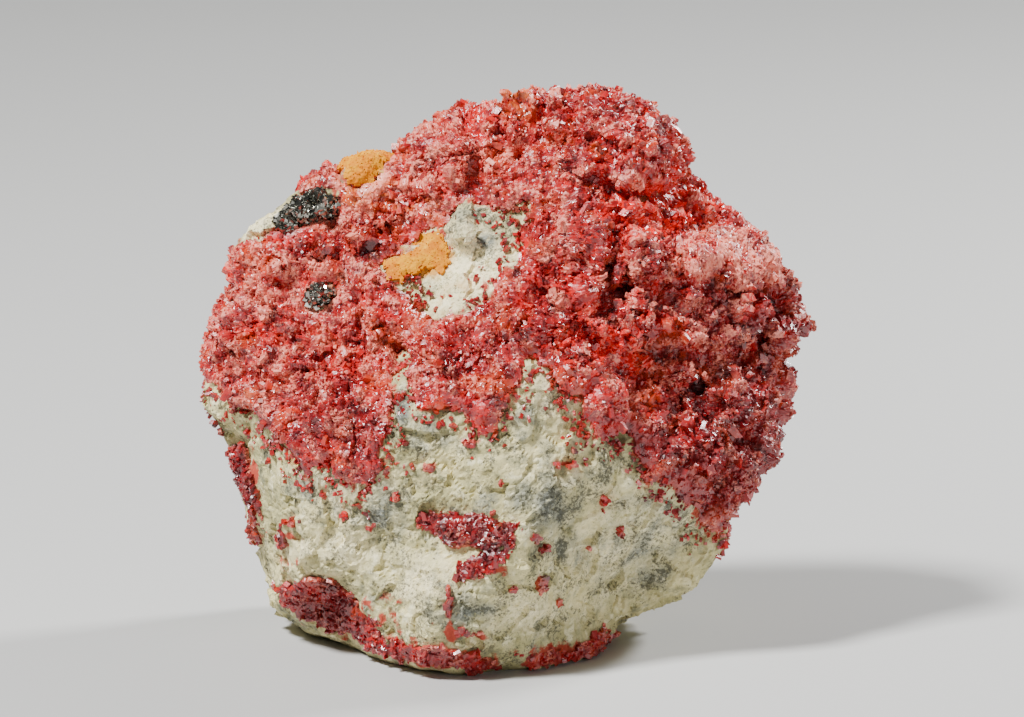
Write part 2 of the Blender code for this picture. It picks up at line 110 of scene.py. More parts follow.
view_right = Vector((1, 0, 0))
view_up = Vector((0, math.sin(CAMERA_ELEVATION), math.cos(CAMERA_ELEVATION)))
view_back = Vector((0, -math.cos(CAMERA_ELEVATION), math.sin(CAMERA_ELEVATION)))
camera = bpy.data.objects.new("camera", bpy.data.cameras.new("camera"))
camera.data.sensor_width = SENSOR_WIDTH
camera.data.lens = SENSOR_WIDTH * CAMERA_DISTANCE / (IMAGE_WIDTH * MM_PER_PIXEL * MM)
camera.data.clip_start = 0.05
camera.data.clip_end = 20
aim = HEART + (view_right * IMAGE_CENTRE[0] + view_up * IMAGE_CENTRE[1]) * MM
camera.location = aim + view_back * CAMERA_DISTANCE
camera.rotation_mode = "QUATERNION"
camera.rotation_quaternion = view_back.to_track_quat("Z", "Y")
bpy.context.scene.collection.objects.link(camera)
bpy.context.scene.camera = camera


def area_light(name, place, size, power):
    """A square soft light that faces the stone."""
    light = bpy.data.objects.new(name, bpy.data.lights.new(name, "AREA"))
    light.data.size = size
    light.data.energy = power
    light.location = place
    light.rotation_mode = "QUATERNION"
    light.rotation_quaternion = (Vector(place) - HEART).to_track_quat("Z", "Y")
    bpy.context.scene.collection.objects.link(light)


area_light("key_light", place=(-0.42, -0.28, 0.78), size=0.14, power=20.0)
area_light("rim_light", place=(0.48, 0.30, 0.42), size=0.12, power=8.0)
area_light("fill_light", place=(0.50, -0.62, 0.22), size=0.4, power=1.2)

STUDIO_BRIGHTNESS = 0.1
world = bpy.data.worlds.new("studio")
bpy.context.scene.world = world
world.use_nodes = True
studio = world.node_tree.nodes["Background"].inputs
studio["Color"].default_value = linear("d8dadc")
studio["Strength"].default_value = STUDIO_BRIGHTNESS

FLOOR_SIZE = 3.0
FLOOR_BACK = 2.4
FLOOR_BEND = 0.5
FLOOR_STEPS = 12
floor_mesh = bmesh.new()
profile = [(-FLOOR_SIZE, 0.0), (FLOOR_BACK, 0.0)]
profile += [
    (FLOOR_BACK + FLOOR_BEND * math.sin(turn), FLOOR_BEND * (1 - math.cos(turn)))
    for turn in np.linspace(0.1, math.pi / 2, FLOOR_STEPS)
]
profile.append((FLOOR_BACK + FLOOR_BEND, FLOOR_SIZE))
rows = [[floor_mesh.verts.new((x, y, z)) for y, z in profile] for x in (-FLOOR_SIZE, FLOOR_SIZE)]
for near in range(len(profile) - 1):
    floor_mesh.faces.new((rows[0][near], rows[1][near], rows[1][near + 1], rows[0][near + 1]))
floor = bpy.data.objects.new("floor", bpy.data.meshes.new("floor"))
floor_mesh.to_mesh(floor.data)
floor.data.shade_smooth()
floor_paint = bpy.data.materials.new("pale_floor_paint")
floor_paint.use_nodes = True
paint = floor_paint.node_tree.nodes["Principled BSDF"].inputs
paint["Base Color"].default_value = linear("b9b9b7")
paint["Roughness"].default_value = 0.6
floor.data.materials.append(floor_paint)
bpy.context.scene.collection.objects.link(floor)


# The rock: limestone and shale altered to a pale, crumbly mass by the hot water that brought the arsenic.
# It broke along uneven faces, and its surface is rough at every size, with grey patches of less altered
# rock, red stains round the ore and small dark specks.
# Lengths are in mm. The rock's mesh is finer where the rock shows, and down to ROCK_COVER under the druse.
# Facing is how far a surface is turned to the eye, from -1 to 1. The druse's outline in front turns into
# its outline behind within SIDE_BLEND of 0.
FAR = 60.0
ROCK_GRAIN = 0.88
ROCK_COVER = 1.5
ROCK_SMOOTHING = 8
SIDE_BLEND = 0.25
ALL_BUT_THE_BACK = -0.95
FACET_STEEPNESS = 2.4
# The rock's relief fades towards its base and under the druse, and the patches drawn on its front fade round
# its sides. By the druse the rock is stained red. Pairs are where a change starts and ends.
BASE_FADE = (0.2, 2.5)
DRUSE_FADE = (2.5, 0.5)
FRONT_FADE = (-0.1, 0.3)
EDGE_STAIN = 0.5
EDGE_STAIN_FADE = (-2.0, 0.5)
# Outlines are drawn as seen from the camera: mm to the right of the stone's heart and mm upwards from it.
CRUST_OUTLINE = [
    (-60, -1), (-45.5, -1), (-43.5, -2.5), (-41.5, -5), (-38, -5.5), (-36, -8), (-33, -10.5),
    (-31.5, -13), (-29.5, -15.5), (-28.5, -14), (-26.5, -12.5), (-25.5, -15), (-24, -16.5),
    (-21.5, -16.5), (-19, -15.5), (-18.5, -11), (-17.5, -6.5), (-17, -2.5), (-15.8, 3), (-14.8, 3),
    (-15, -2.5), (-13.5, -5), (-11.5, -5.5), (-9, -4.5), (-6.5, -6.5), (-4.5, -9), (-2.5, -8.5),
    (-1.5, -6.5), (0.5, -3), (2, 0.5), (3, 2), (4.5, 1.5), (6, 0.5), (7, -2.5), (10, -3), (11.5, -2.5),
    (10.5, -5.5), (11, -8), (13, -9.5), (15, -9.5), (16.5, -8), (18, -10), (19.5, -13.5), (21, -15.5),
    (23.5, -16.5), (26, -19), (27.5, -21.5), (29, -23.5), (31, -24), (32, -22), (33.5, -21.5),
    (60, -21.5), (60, 60), (-60, 60),
]
CRUST_OUTLINE_BACK = [
    (-60, -1), (-45.5, -1), (-38, 4), (-31, 8), (-27, 17), (-15, 22), (-4, 20), (6, 26), (17, 22), (24, 13),
    (22, 2), (29, -7), (27, -17), (33.5, -21.5), (60, -21.5), (60, 60), (-60, 60),
]
WINDOW_OUTLINE = [
    (-19, 16), (-16, 18), (-13.5, 19.5), (-12, 21.5), (-10, 21.5), (-9, 23), (-7.5, 25.5), (-5, 25),
    (-2.5, 24.5), (0, 24.5), (3.5, 26), (2.5, 23), (1.5, 21.5), (2, 19), (1, 17), (-1, 15), (-2.5, 12.5),
    (-4, 10), (-6, 9), (-8, 9), (-11.5, 8), (-13, 9.5), (-14.5, 11.5), (-16, 12.5), (-18, 14),
]
CORNER_OUTLINE = [
    (-50, 18.5), (-50, 34), (-32, 34), (-31.5, 28), (-32, 25.5), (-33.5, 24.5), (-35, 23),
    (-35, 21.5), (-37, 21), (-39, 20), (-41.5, 19),
]
METAL_OUTLINES = [
    [(-35, 22.5), (-33.5, 24.5), (-30, 27), (-28, 27.5), (-25.5, 26.5), (-26.5, 23.5), (-28.5, 23),
     (-31, 22.5), (-32.5, 21.5), (-34, 21.5)],
    [(-30, 12), (-29, 13.5), (-26.5, 13.5), (-26, 12), (-27, 10.5), (-29, 10), (-30, 10)],
]
ORPIMENT_OUTLINES = [
    [(-24.5, 36), (-25.5, 31), (-24.5, 29), (-23, 28), (-21, 28.5), (-19, 30.5), (-17.5, 32), (-17, 36)],
    [(-19, 16), (-16, 18), (-12.5, 20.5), (-10, 21.5), (-9, 19), (-9, 16.5), (-10, 15), (-12.5, 16),
     (-16, 14), (-18, 14)],
]


def smooth_step(low, high, value):
    """0 below low, 1 above high, and a smooth rise between them."""
    share = np.clip((value - low) / (high - low), 0, 1)
    return share * share * (3 - 2 * share)


def drawn(places):
    """Places in world mm, as the camera sees them: (u, w, c), to the right, upwards and towards the eye."""
    x, y, z = places.T
    z = z - HEART_HEIGHT
    up = y * math.sin(CAMERA_ELEVATION) + z * math.cos(CAMERA_ELEVATION)
    near = z * math.sin(CAMERA_ELEVATION) - y * math.cos(CAMERA_ELEVATION)
    return np.column_stack([x, up, near])


def inside(outline, places):
    """How far inside an outline each drawn place lies, in mm, and below 0 outside it."""
    starts = np.array(outline, dtype=float)
    sides = np.roll(starts, -1, axis=0) - starts
    nearest = np.full(len(places), np.inf)
    odd = np.zeros(len(places), dtype=bool)
    for (start_u, start_w), (side_u, side_w) in zip(starts, sides):
        off_u = places[:, 0] - start_u
        off_w = places[:, 1] - start_w
        along = np.clip((off_u * side_u + off_w * side_w) / (side_u**2 + side_w**2), 0, 1)
        nearest = np.minimum(nearest, np.hypot(off_u - along * side_u, off_w - along * side_w))
        if side_w:
            odd ^= ((off_w < 0) != (off_w < side_w)) & (off_u < off_w * side_u / side_w)
    return np.where(odd, nearest, -nearest)


def blobs(places, rows):
    """A share from 0 to 1 at each drawn place, from soft ovals: u, w, reach across, reach upwards, share."""
    left = np.ones(len(places))
    for centre_u, centre_w, reach_u, reach_w, share in rows:
        distance = ((places[:, 0] - centre_u) / reach_u) ** 2 + ((places[:, 1] - centre_w) / reach_w) ** 2
        left *= 1 - share * np.exp(-distance)
    return 1 - left


def points_of(mesh):
    """A mesh's vertices as an array."""
    points = np.empty(len(mesh.vertices) * 3, dtype=np.float32)
    mesh.vertices.foreach_get("co", points)
    return points.reshape(-1, 3).astype(float)


def normals_of(mesh):
    """A mesh's vertex normals as an array."""
    normals = np.empty(len(mesh.vertices) * 3, dtype=np.float32)
    mesh.vertex_normals.foreach_get("vector", normals)
    return normals.reshape(-1, 3).astype(float)


def spread(mesh, values, times):
    """Values at a mesh's vertices, each averaged with its neighbours this many times."""
    edges = np.empty(len(mesh.edges) * 2, dtype=np.int32)
    mesh.edges.foreach_get("vertices", edges)
    ends = edges.reshape(-1, 2)
    froms = np.concatenate([ends[:, 0], ends[:, 1]])
    tos = np.concatenate([ends[:, 1], ends[:, 0]])
    count = len(mesh.vertices)
    shares = 1 + np.bincount(froms, minlength=count)
    columns = values.reshape(count, -1).T.copy()
    for _ in range(times):
        sums = [np.bincount(froms, weights=column[tos], minlength=count) for column in columns]
        columns = (columns + sums) / shares
    return columns.T.reshape(values.shape)


def place_points(mesh, points):
    """Move a mesh's vertices to these points."""
    mesh.vertices.foreach_set("co", points.astype(np.float32).ravel())
    mesh.update()


def store(mesh, name, values):
    """Keep a number for each vertex as a named attribute, for the node trees to read."""
    if name not in mesh.attributes:
        mesh.attributes.new(name, "FLOAT", "POINT")
    mesh.attributes[name].data.foreach_set("value", values.astype(np.float32))


def evaluated(mesh, set_up):
    """A mesh after a modifier stack that set_up puts on an object of it."""
    holder = bpy.data.objects.new("holder", mesh)
    bpy.context.scene.collection.objects.link(holder)
    set_up(holder)
    graph = bpy.context.evaluated_depsgraph_get()
    result = bpy.data.meshes.new_from_object(holder.evaluated_get(graph), depsgraph=graph)
    bpy.data.objects.remove(holder)
    return result


def grained(node, grain):
    """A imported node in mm, its surface divided into even squares of this size."""
    shape = bmesh.new()
    shape.from_mesh(frame["nodes"][node].data)
    bmesh.ops.scale(shape, vec=(1 / MM,) * 3, verts=shape.verts[:])
    bmesh.ops.remove_doubles(shape, verts=shape.verts[:], dist=0.001)
    mesh = bpy.data.meshes.new(node)
    shape.to_mesh(mesh)
    shape.free()

    def remesh(holder):
        divide = holder.modifiers.new("grains", "REMESH")
        divide.mode = "VOXEL"
        divide.voxel_size = grain

    return evaluated(mesh, remesh)


def crust_depth(places, facing):
    """How far inside the druse's outline each drawn place lies. Facing goes from -1 behind to 1 in front."""
    share = smooth_step(-SIDE_BLEND, SIDE_BLEND, facing)
    depth = share * inside(CRUST_OUTLINE, places) + (1 - share) * inside(CRUST_OUTLINE_BACK, places)
    for outline in [WINDOW_OUTLINE, *METAL_OUTLINES, ORPIMENT_OUTLINES[1]]:
        depth = np.where(facing > 0, np.minimum(depth, -inside(outline, places)), depth)
    for outline in (CORNER_OUTLINE, ORPIMENT_OUTLINES[0]):
        depth = np.where(facing > ALL_BUT_THE_BACK, np.minimum(depth, -inside(outline, places)), depth)
    return depth


def facing_of(normals):
    """How far a surface is turned to the eye, from -1 to 1."""
    return normals[:, 2] * math.sin(CAMERA_ELEVATION) - normals[:, 1] * math.cos(CAMERA_ELEVATION)


def relief_tree(name, layers):
    """A Geometry Nodes tree that raises a surface along its normals, as far as the attribute "relief" lets
    it. Each layer is a kind of pattern, its width and height in mm, and how far the pattern is shifted."""
    tree = bpy.data.node_groups.new(name, "GeometryNodeTree")
    tree.interface.new_socket("Geometry", in_out="INPUT", socket_type="NodeSocketGeometry")
    tree.interface.new_socket("Geometry", in_out="OUTPUT", socket_type="NodeSocketGeometry")
    start = add(tree, "NodeGroupInput").outputs
    end = add(tree, "NodeGroupOutput")
    position = add(tree, "GeometryNodeInputPosition").outputs[0]
    total = 0.0
    for number, (kind, width, height, seed) in enumerate(layers, 1):
        for word, value in (("Width", width), ("Height", height)):
            tree.interface.new_socket(
                f"{word} {number}", in_out="INPUT", socket_type="NodeSocketFloat"
            ).default_value = value
        shifted = vector_sum(tree, "ADD", {0: position, 1: (seed, seed * 1.7, seed * 2.3)})
        scale = combined(tree, 1.0, start[f"Width {number}"], "DIVIDE")
        if kind == "noise":
            pattern = add(tree, "ShaderNodeTexNoise", {}, {"Vector": shifted, "Scale": scale, "Detail": 3.0})
            value = combined(tree, pattern.outputs["Fac"], 0.5, "SUBTRACT")
        else:
            cells = add(tree, "ShaderNodeTexVoronoi", {}, {"Vector": shifted, "Scale": scale}).outputs
            if kind == "lumps":
                value = combined(tree, 0.5, cells["Distance"], "SUBTRACT")
            else:
                off = vector_sum(tree, "SUBTRACT", {0: shifted, 1: cells["Position"]})
                off = vector_sum(tree, "SCALE", {0: off, "Scale": scale})
                off = vector_sum(
                    tree, "MULTIPLY_ADD", {0: off, 1: (FACET_STEEPNESS,) * 3, 2: (0.5, 0.5, 0.5)}
                )
                tilt = vector_sum(tree, "SUBTRACT", {0: cells["Color"], 1: (0.5, 0.5, 0.5)})
                value = vector_sum(tree, "DOT_PRODUCT", {0: off, 1: tilt}, "Value")
        total = add(
            tree, "ShaderNodeMath", {"operation": "MULTIPLY_ADD"},
            {0: value, 1: start[f"Height {number}"], 2: total},
        ).outputs[0]
    weight = add(
        tree, "GeometryNodeInputNamedAttribute", {"data_type": "FLOAT"}, {"Name": "relief"}
    ).outputs[0]
    normal = add(tree, "GeometryNodeInputNormal").outputs[0]
    offset = vector_sum(tree, "SCALE", {0: normal, "Scale": combined(tree, total, weight)})
    moved = add(tree, "GeometryNodeSetPosition", {}, {"Geometry": start["Geometry"], "Offset": offset})
    tree.links.new(moved.outputs[0], end.inputs[0])
    return tree


def raised(mesh, tree):
    """A mesh after a relief tree."""
    def set_up(holder):
        holder.modifiers.new("relief", "NODES").node_group = tree

    return evaluated(mesh, set_up)


def finished(name, mesh, material, nodes):
    """Make a worked mesh, in mm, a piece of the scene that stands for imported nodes."""
    points = points_of(mesh)
    points[:, 2] = np.maximum(points[:, 2], 0)
    place_points(mesh, points * MM)
    mesh.name = name
    mesh.materials.clear()
    mesh.materials.append(material)
    piece = bpy.data.objects.new(name, mesh)
    bpy.context.scene.collection.objects.link(piece)
    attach(piece, "root")
    if nodes:
        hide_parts(*nodes)
    return piece


def divided(mesh, chosen):
    """A mesh with the faces whose corners are all chosen divided in four."""
    shape = bmesh.new()
    shape.from_mesh(mesh)
    shape.verts.ensure_lookup_table()
    edges = {edge for face in shape.faces if all(chosen[v.index] for v in face.verts) for edge in face.edges}
    bmesh.ops.subdivide_edges(shape, edges=list(edges), cuts=1, use_grid_fill=True)
    result = bpy.data.meshes.new(mesh.name)
    shape.to_mesh(result)
    shape.free()
    return result


def unit(vectors):
    """Vectors of length 1."""
    return vectors / np.maximum(np.linalg.norm(vectors, axis=1), 1e-9)[:, None]


# Where the rock is clean, grey, or stained by the red ore or by rust. Each row is a soft oval for blobs.
# The clean patches are partly painted light. The patch over the bare window and the patch on the rock at the
# lower right also lift rock that lies in shade.
CLEAN_AND_LIT_PATCHES = [
    (16.5, -22.5, 9.0, 8.0, 0.5), (-38.0, 23.0, 6.0, 5.0, 1.0), (-6.0, 15.0, 8.0, 7.0, 1.0),
    (-22.0, -16.0, 5.0, 3.0, 0.5), (6.0, -2.0, 3.0, 3.0, 0.7), (-13.0, -30.0, 6.0, 4.0, 0.6),
    (3.0, -35.0, 7.0, 4.0, 0.7), (14.0, -28.0, 5.0, 4.0, 0.5), (-30.0, -26.0, 5.0, 3.0, 0.5),
    (24.0, -22.0, 4.0, 3.0, 0.4), (-24.0, -25.0, 5.0, 4.0, 0.5),
]
GREY_PATCHES = [
    (-18.8, -20.3, 3.0, 3.0, 0.9), (5.3, -18.8, 3.5, 3.5, 1.0), (7.5, -25.5, 2.5, 2.0, 0.8),
    (-7.5, -35.0, 4.0, 3.0, 0.8), (19.5, -27.5, 5.0, 4.0, 0.6), (-15.6, -5.0, 1.2, 2.6, 1.0),
    (22.0, -20.0, 4.0, 2.5, 0.7), (-30.0, -17.0, 3.0, 2.0, 0.7), (-12.0, -9.0, 4.0, 3.0, 0.5),
    (-3.6, 19.8, 1.6, 1.3, 1.0), (4.0, -8.0, 5.0, 4.0, 0.4), (14.0, -13.0, 2.0, 2.0, 0.6),
]
RED_STAINS = [
    (-12.0, -13.5, 1.3, 0.8, 1.0), (-6.0, -9.8, 1.5, 0.9, 0.8), (8.3, -13.2, 2.2, 0.6, 0.9),
    (13.8, -18.5, 0.6, 2.0, 0.8), (4.5, -30.8, 0.9, 1.6, 0.9), (5.3, -25.5, 1.0, 0.8, 0.6),
    (-9.0, -36.0, 0.9, 3.5, 0.9), (-6.0, -38.5, 3.0, 1.0, 0.8), (-4.0, -24.0, 8.0, 2.5, 0.5),
    (-4.0, -28.5, 4.5, 1.4, 0.7), (-22.0, -36.0, 10.0, 5.0, 0.5), (-34.0, -24.0, 4.0, 1.0, 0.7),
    (-33.0, -28.0, 3.0, 1.5, 0.6), (-38.5, -17.0, 1.2, 8.0, 0.8), (8.0, -41.0, 8.0, 1.6, 0.8),
    (-8.0, -42.5, 12.0, 1.0, 0.7), (-3.0, 13.0, 3.0, 4.0, 0.4), (20.0, -16.0, 3.0, 2.0, 0.5),
]
RUST_STAINS = [
    (-13.0, 18.0, 7.0, 4.0, 0.9), (-10.0, 10.0, 5.0, 3.0, 0.4), (-21.0, 31.0, 6.0, 3.0, 0.8),
    (-32.0, -12.0, 5.0, 3.0, 0.3), (-17.0, -2.0, 2.0, 3.0, 0.4),
]
# A knob of rock in the bare window, and its height in mm.
NODULE = [(-6.5, 20.7, 1.9, 1.9, 1.0)]
NODULE_HEIGHT = 2.4


def roughened(points, values, width, height):
    """Values at points, moved up and down by noise of this width in mm and this height."""
    return values + height * np.array([noise_at(Vector(point) / width) for point in points])


rock = grained("matrix_stone", ROCK_GRAIN)
rock_facing = facing_of(unit(spread(rock, normals_of(rock), ROCK_SMOOTHING)))
rock = divided(rock, crust_depth(drawn(points_of(rock)), rock_facing) < ROCK_COVER)
rock_points = points_of(rock)
rock_normals = unit(spread(rock, normals_of(rock), ROCK_SMOOTHING))
rock_places = drawn(rock_points)
rock_facing = facing_of(rock_normals)
rock_depth = crust_depth(rock_places, rock_facing)
in_front = smooth_step(*FRONT_FADE, rock_facing)
knob = NODULE_HEIGHT * in_front * blobs(rock_places, NODULE)
place_points(rock, rock_points + rock_normals * knob[:, None])
store(rock, "relief", smooth_step(*BASE_FADE, rock_points[:, 2]) * smooth_step(*DRUSE_FADE, rock_depth))
for name, rows, width, change in (
    ("red_stain", RED_STAINS, 1.5, 0.5), ("grey_patch", GREY_PATCHES, 2.4, 0.7),
    ("rust_stain", RUST_STAINS, 3.0, 0.5), ("clean_patch", CLEAN_AND_LIT_PATCHES, 2.0, 0.4),
):
    share = in_front * blobs(rock_places, rows)
    if name == "red_stain":
        share = np.maximum(share, EDGE_STAIN * smooth_step(*EDGE_STAIN_FADE, rock_depth))
    reached = share > 0.05
    share[reached] = roughened(rock_points[reached], share[reached], width, change)
    store(rock, name, np.clip(share, 0, 1))
rock = raised(rock, relief_tree("broken_rock", [
    ("noise", 9.0, 2.4, 3.0), ("facets", 4.2, 0.7, 7.0), ("noise", 1.8, 0.5, 11.0),
    ("facets", 1.3, 0.2, 5.0),
]))


def start_material(name):
    """A material, its tree, and its Principled shader."""
    material = bpy.data.materials.new(name)
    material.use_nodes = True
    return material, material.node_tree, material.node_tree.nodes["Principled BSDF"]


def attribute(tree, name):
    """The output of a named attribute of the surface."""
    return add(tree, "ShaderNodeAttribute", {"attribute_name": name}).outputs["Fac"]


def mixed(tree, share, first, second):
    """A blend of two colours, each given as a screen colour or as another node's output."""
    node = add(tree, "ShaderNodeMix", {"data_type": "RGBA", "clamp_factor": True})
    for socket, value in ((0, share), (6, first), (7, second)):
        if isinstance(value, bpy.types.NodeSocket):
            tree.links.new(value, node.inputs[socket])
        else:
            node.inputs[socket].default_value = linear(value) if isinstance(value, str) else value
    return node.outputs[2]


def sharpened(tree, value, low, high):
    """A value stretched so that low becomes 0 and high becomes 1, and held there."""
    return add(
        tree, "ShaderNodeMapRange", {"interpolation_type": "SMOOTHSTEP"},
        {"Value": value, "From Min": low, "From Max": high},
    ).outputs[0]


def noise(tree, position, width, detail=3.0, roughness=0.55):
    """Noise of a width in mm, from 0 to 1."""
    return add(
        tree, "ShaderNodeTexNoise", {},
        {"Vector": position, "Scale": 1 / (width * MM), "Detail": detail, "Roughness": roughness},
    ).outputs["Fac"]


# Altered limestone, broken with a hammer: matt, chalky and porous, warm cream where it is clean, with fine
# dark grains that crowd together in the grey patches. The clean patches are paler still, partly as painted
# light on rock that lies in shade.
altered_rock, tree, shader = start_material("altered_rock")
position = add(tree, "ShaderNodeTexCoord").outputs["Object"]
broad = noise(tree, position, 8.0, 4.0, 0.6)
middle = noise(tree, position, 2.4, 5.0, 0.68)
fine = noise(tree, position, 0.7, 4.0, 0.75)
colour = mixed(tree, sharpened(tree, broad, 0.38, 0.62), "dcd098", "b8b07c")
colour = mixed(tree, sharpened(tree, middle, 0.50, 0.68), colour, "878562")
colour = mixed(tree, sharpened(tree, middle, 0.47, 0.33), colour, "eee7bc")
# Clean rock, partly painted light: the palest cream, which also lifts rock that lies in shade.
clean_and_lit = combined(tree, attribute(tree, "clean_patch"), sharpened(tree, fine, 0.66, 0.46))
colour = mixed(tree, clean_and_lit, colour, "fff3c6")
grey = combined(tree, sharpened(tree, noise(tree, position, 7.0, 4.0, 0.6), 0.58, 0.70), 0.6)
grey = combined(tree, attribute(tree, "grey_patch"), grey, "MAXIMUM")
colour = mixed(tree, combined(tree, grey, sharpened(tree, fine, 0.30, 0.50)), colour, "8a8e84")
crowd = sharpened(tree, noise(tree, position, 4.2, 4.0, 0.6), 0.42, 0.64)
crowd = combined(tree, combined(tree, crowd, 0.16), combined(tree, grey, 0.14), "ADD")
speck = combined(tree, noise(tree, position, 0.5, 3.0, 0.8), crowd, "ADD")
colour = mixed(tree, combined(tree, sharpened(tree, speck, 0.58, 0.76), 0.85), colour, "4a493c")
rust = combined(tree, attribute(tree, "rust_stain"), middle)
colour = mixed(tree, sharpened(tree, rust, 0.15, 0.55), colour, "dba045")
stain = combined(tree, noise(tree, position, 0.8, 4.0, 0.75), 0.25, "ADD")
stain = combined(tree, attribute(tree, "red_stain"), stain)
colour = mixed(tree, sharpened(tree, stain, 0.32, 0.50), colour, "b04430")
tree.links.new(colour, shader.inputs["Base Color"])
shader.inputs["Roughness"].default_value = 0.9
shader.inputs["IOR"].default_value = 1.5
bump = add(tree, "ShaderNodeBump", {}, {"Strength": 0.6, "Distance": 0.3 * MM, "Height": fine})
tree.links.new(bump.outputs[0], shader.inputs["Normal"])
finished("rock", rock, altered_rock, ["matrix_stone"])


# Realgar, arsenic sulphide, grown as a mass of small crystals: deep red, with resinous faces that flash
# white. A fine salmon speckle on it is partly its own pale dust and partly painted glints; it is thicker
# where the realgar is weathered, and thicker on what stands out as a painted highlight. Pits are darkened as
# painted shade, and drawn places both as painted shade and as realgar that is darker of itself. Its
# refractive index is set lower than the real one, or a white veil would hide the red.
CRYSTAL_WIDTH = 1.1
realgar, tree, shader = start_material("realgar_crystal")
position = add(tree, "ShaderNodeTexCoord").outputs["Object"]
cells = add(
    tree, "ShaderNodeTexVoronoi", {}, {"Vector": position, "Scale": 1 / (CRYSTAL_WIDTH * MM)}
).outputs["Color"]
grain = add(tree, "ShaderNodeSeparateXYZ", {}, {"Vector": cells}).outputs
patch = noise(tree, position, 3.6, 3.0, 0.6)
peak = attribute(tree, "peak")
colour = mixed(tree, grain["X"], "860914", "bb2020")
colour = mixed(tree, sharpened(tree, patch, 0.52, 0.68), colour, "cf1416")
colour = mixed(tree, sharpened(tree, patch, 0.46, 0.32), colour, "5c040c")
colour = mixed(tree, sharpened(tree, noise(tree, position, 4.6), 0.50, 0.70), colour, "c03c18")
colour = mixed(
    tree, sharpened(tree, combined(tree, attribute(tree, "bright"), grain["Y"]), 0.2, 0.5), colour, "e8150c"
)
colour = mixed(
    tree, sharpened(tree, combined(tree, attribute(tree, "orange"), noise(tree, position, 1.6)), 0.2, 0.5),
    colour, "dc7228",
)
# Darker realgar and painted shade: the dark places are darkened towards maroon.
colour = mixed(tree, combined(tree, attribute(tree, "dusk"), 0.7), colour, "4c0a12")
# Dust and painted glints: a pale salmon speckle that is partly the realgar's own dust and partly painted
# glints, with more of it where the realgar is weathered.
dust_and_glints = combined(tree, sharpened(tree, noise(tree, position, 3.0, 3.0, 0.6), 0.35, 0.70), 0.42)
speckle = sharpened(tree, noise(tree, position, 0.5, 3.0, 0.8), 0.3, 0.7)
dust_and_glints = combined(tree, dust_and_glints, combined(tree, speckle, 0.5), "ADD")
dust_and_glints = combined(tree, dust_and_glints, combined(tree, attribute(tree, "frost"), 0.35), "ADD")
# Painted highlight: the speckle is paler and thicker on what stands out.
dust_and_glints = combined(tree, dust_and_glints, combined(tree, peak, 0.2), "ADD")
dust_and_glints = combined(tree, dust_and_glints, combined(tree, attribute(tree, "dusk"), 0.12), "SUBTRACT")
dust_and_glints = sharpened(tree, dust_and_glints, 0.53, 0.88)
colour = mixed(tree, combined(tree, dust_and_glints, 0.85), colour, "f28b72")
# Painted shade in the pits: what lies below its smoothed surroundings is darkened to deep maroon.
painted_pit_shade = combined(tree, sharpened(tree, peak, -0.2, -1.2), 0.6)
colour = mixed(tree, painted_pit_shade, colour, "4a0509")
tree.links.new(colour, shader.inputs["Base Color"])
roughness = add(
    tree, "ShaderNodeMapRange", {}, {"Value": grain["Z"], "To Min": 0.16, "To Max": 0.5}
).outputs[0]
roughness = combined(tree, roughness, combined(tree, dust_and_glints, 0.3), "ADD")
tree.links.new(roughness, shader.inputs["Roughness"])
shader.inputs["IOR"].default_value = 1.75
bump = add(
    tree, "ShaderNodeBump", {},
    {"Strength": 0.6, "Distance": 0.12 * MM, "Height": noise(tree, position, 0.35)},
)
tree.links.new(bump.outputs[0], shader.inputs["Normal"])

# Where the realgar is dusty, clean and bright, weathered to orange, or dark, both of itself and as painted
# shade. Each row is a soft oval for blobs.
FROST = [
    (-30.0, 5.0, 14.0, 14.0, 0.5), (-12.0, 29.0, 16.0, 6.0, 0.75), (30.0, 16.0, 8.0, 3.0, 0.9),
    (-10.0, 2.0, 8.0, 6.0, 0.2), (-33.0, 14.0, 8.0, 5.0, 0.5), (14.0, 12.0, 4.0, 5.0, 0.3),
    (25.0, 5.0, 9.0, 6.0, 0.5),
]
BRIGHT = [
    (22.0, 24.0, 10.0, 6.0, 0.9), (10.0, 18.0, 8.0, 8.0, 0.4), (18.0, 36.0, 8.0, 5.0, 0.2),
    (13.0, 3.0, 8.0, 6.0, 0.8), (-35.0, 8.0, 5.0, 6.0, 0.5),
]
ORANGE = [
    (-22.0, 28.0, 6.0, 5.0, 0.8), (1.0, 38.0, 4.0, 2.5, 0.7), (-12.0, 24.0, 6.0, 3.0, 0.6),
    (-10.5, 31.5, 8.0, 5.0, 0.35), (-38.0, -3.0, 5.0, 2.5, 0.5), (-14.0, 12.0, 4.0, 3.0, 0.5),
    (6.0, 26.0, 3.0, 3.0, 0.3),
]
# Dark places: some are painted shade, on the right side turned from the key light and in the lined hollow;
# others, such as the lens, are realgar that is darker of itself.
DARK_AND_SHADE = [
    (43.0, 6.5, 4.5, 6.5, 0.8), (30.0, -12.0, 12.0, 12.0, 0.7), (35.0, 8.0, 10.0, 8.0, 0.4),
    (3.0, 2.0, 5.0, 6.0, 0.3), (-26.0, -35.0, 8.0, 5.0, 0.85), (-6.0, -24.5, 14.0, 7.0, 1.0),
    (10.5, 19.5, 5.0, 9.0, 0.35), (15.0, 37.0, 9.0, 5.0, 0.3), (-8.0, 3.0, 7.0, 6.0, 0.3),
    (-38.5, -17.0, 3.0, 8.0, 1.0), (-10.0, -42.0, 10.0, 2.0, 0.6), (-22.0, -8.0, 7.0, 4.0, 0.5),
]

CRYSTAL_KINDS = 8


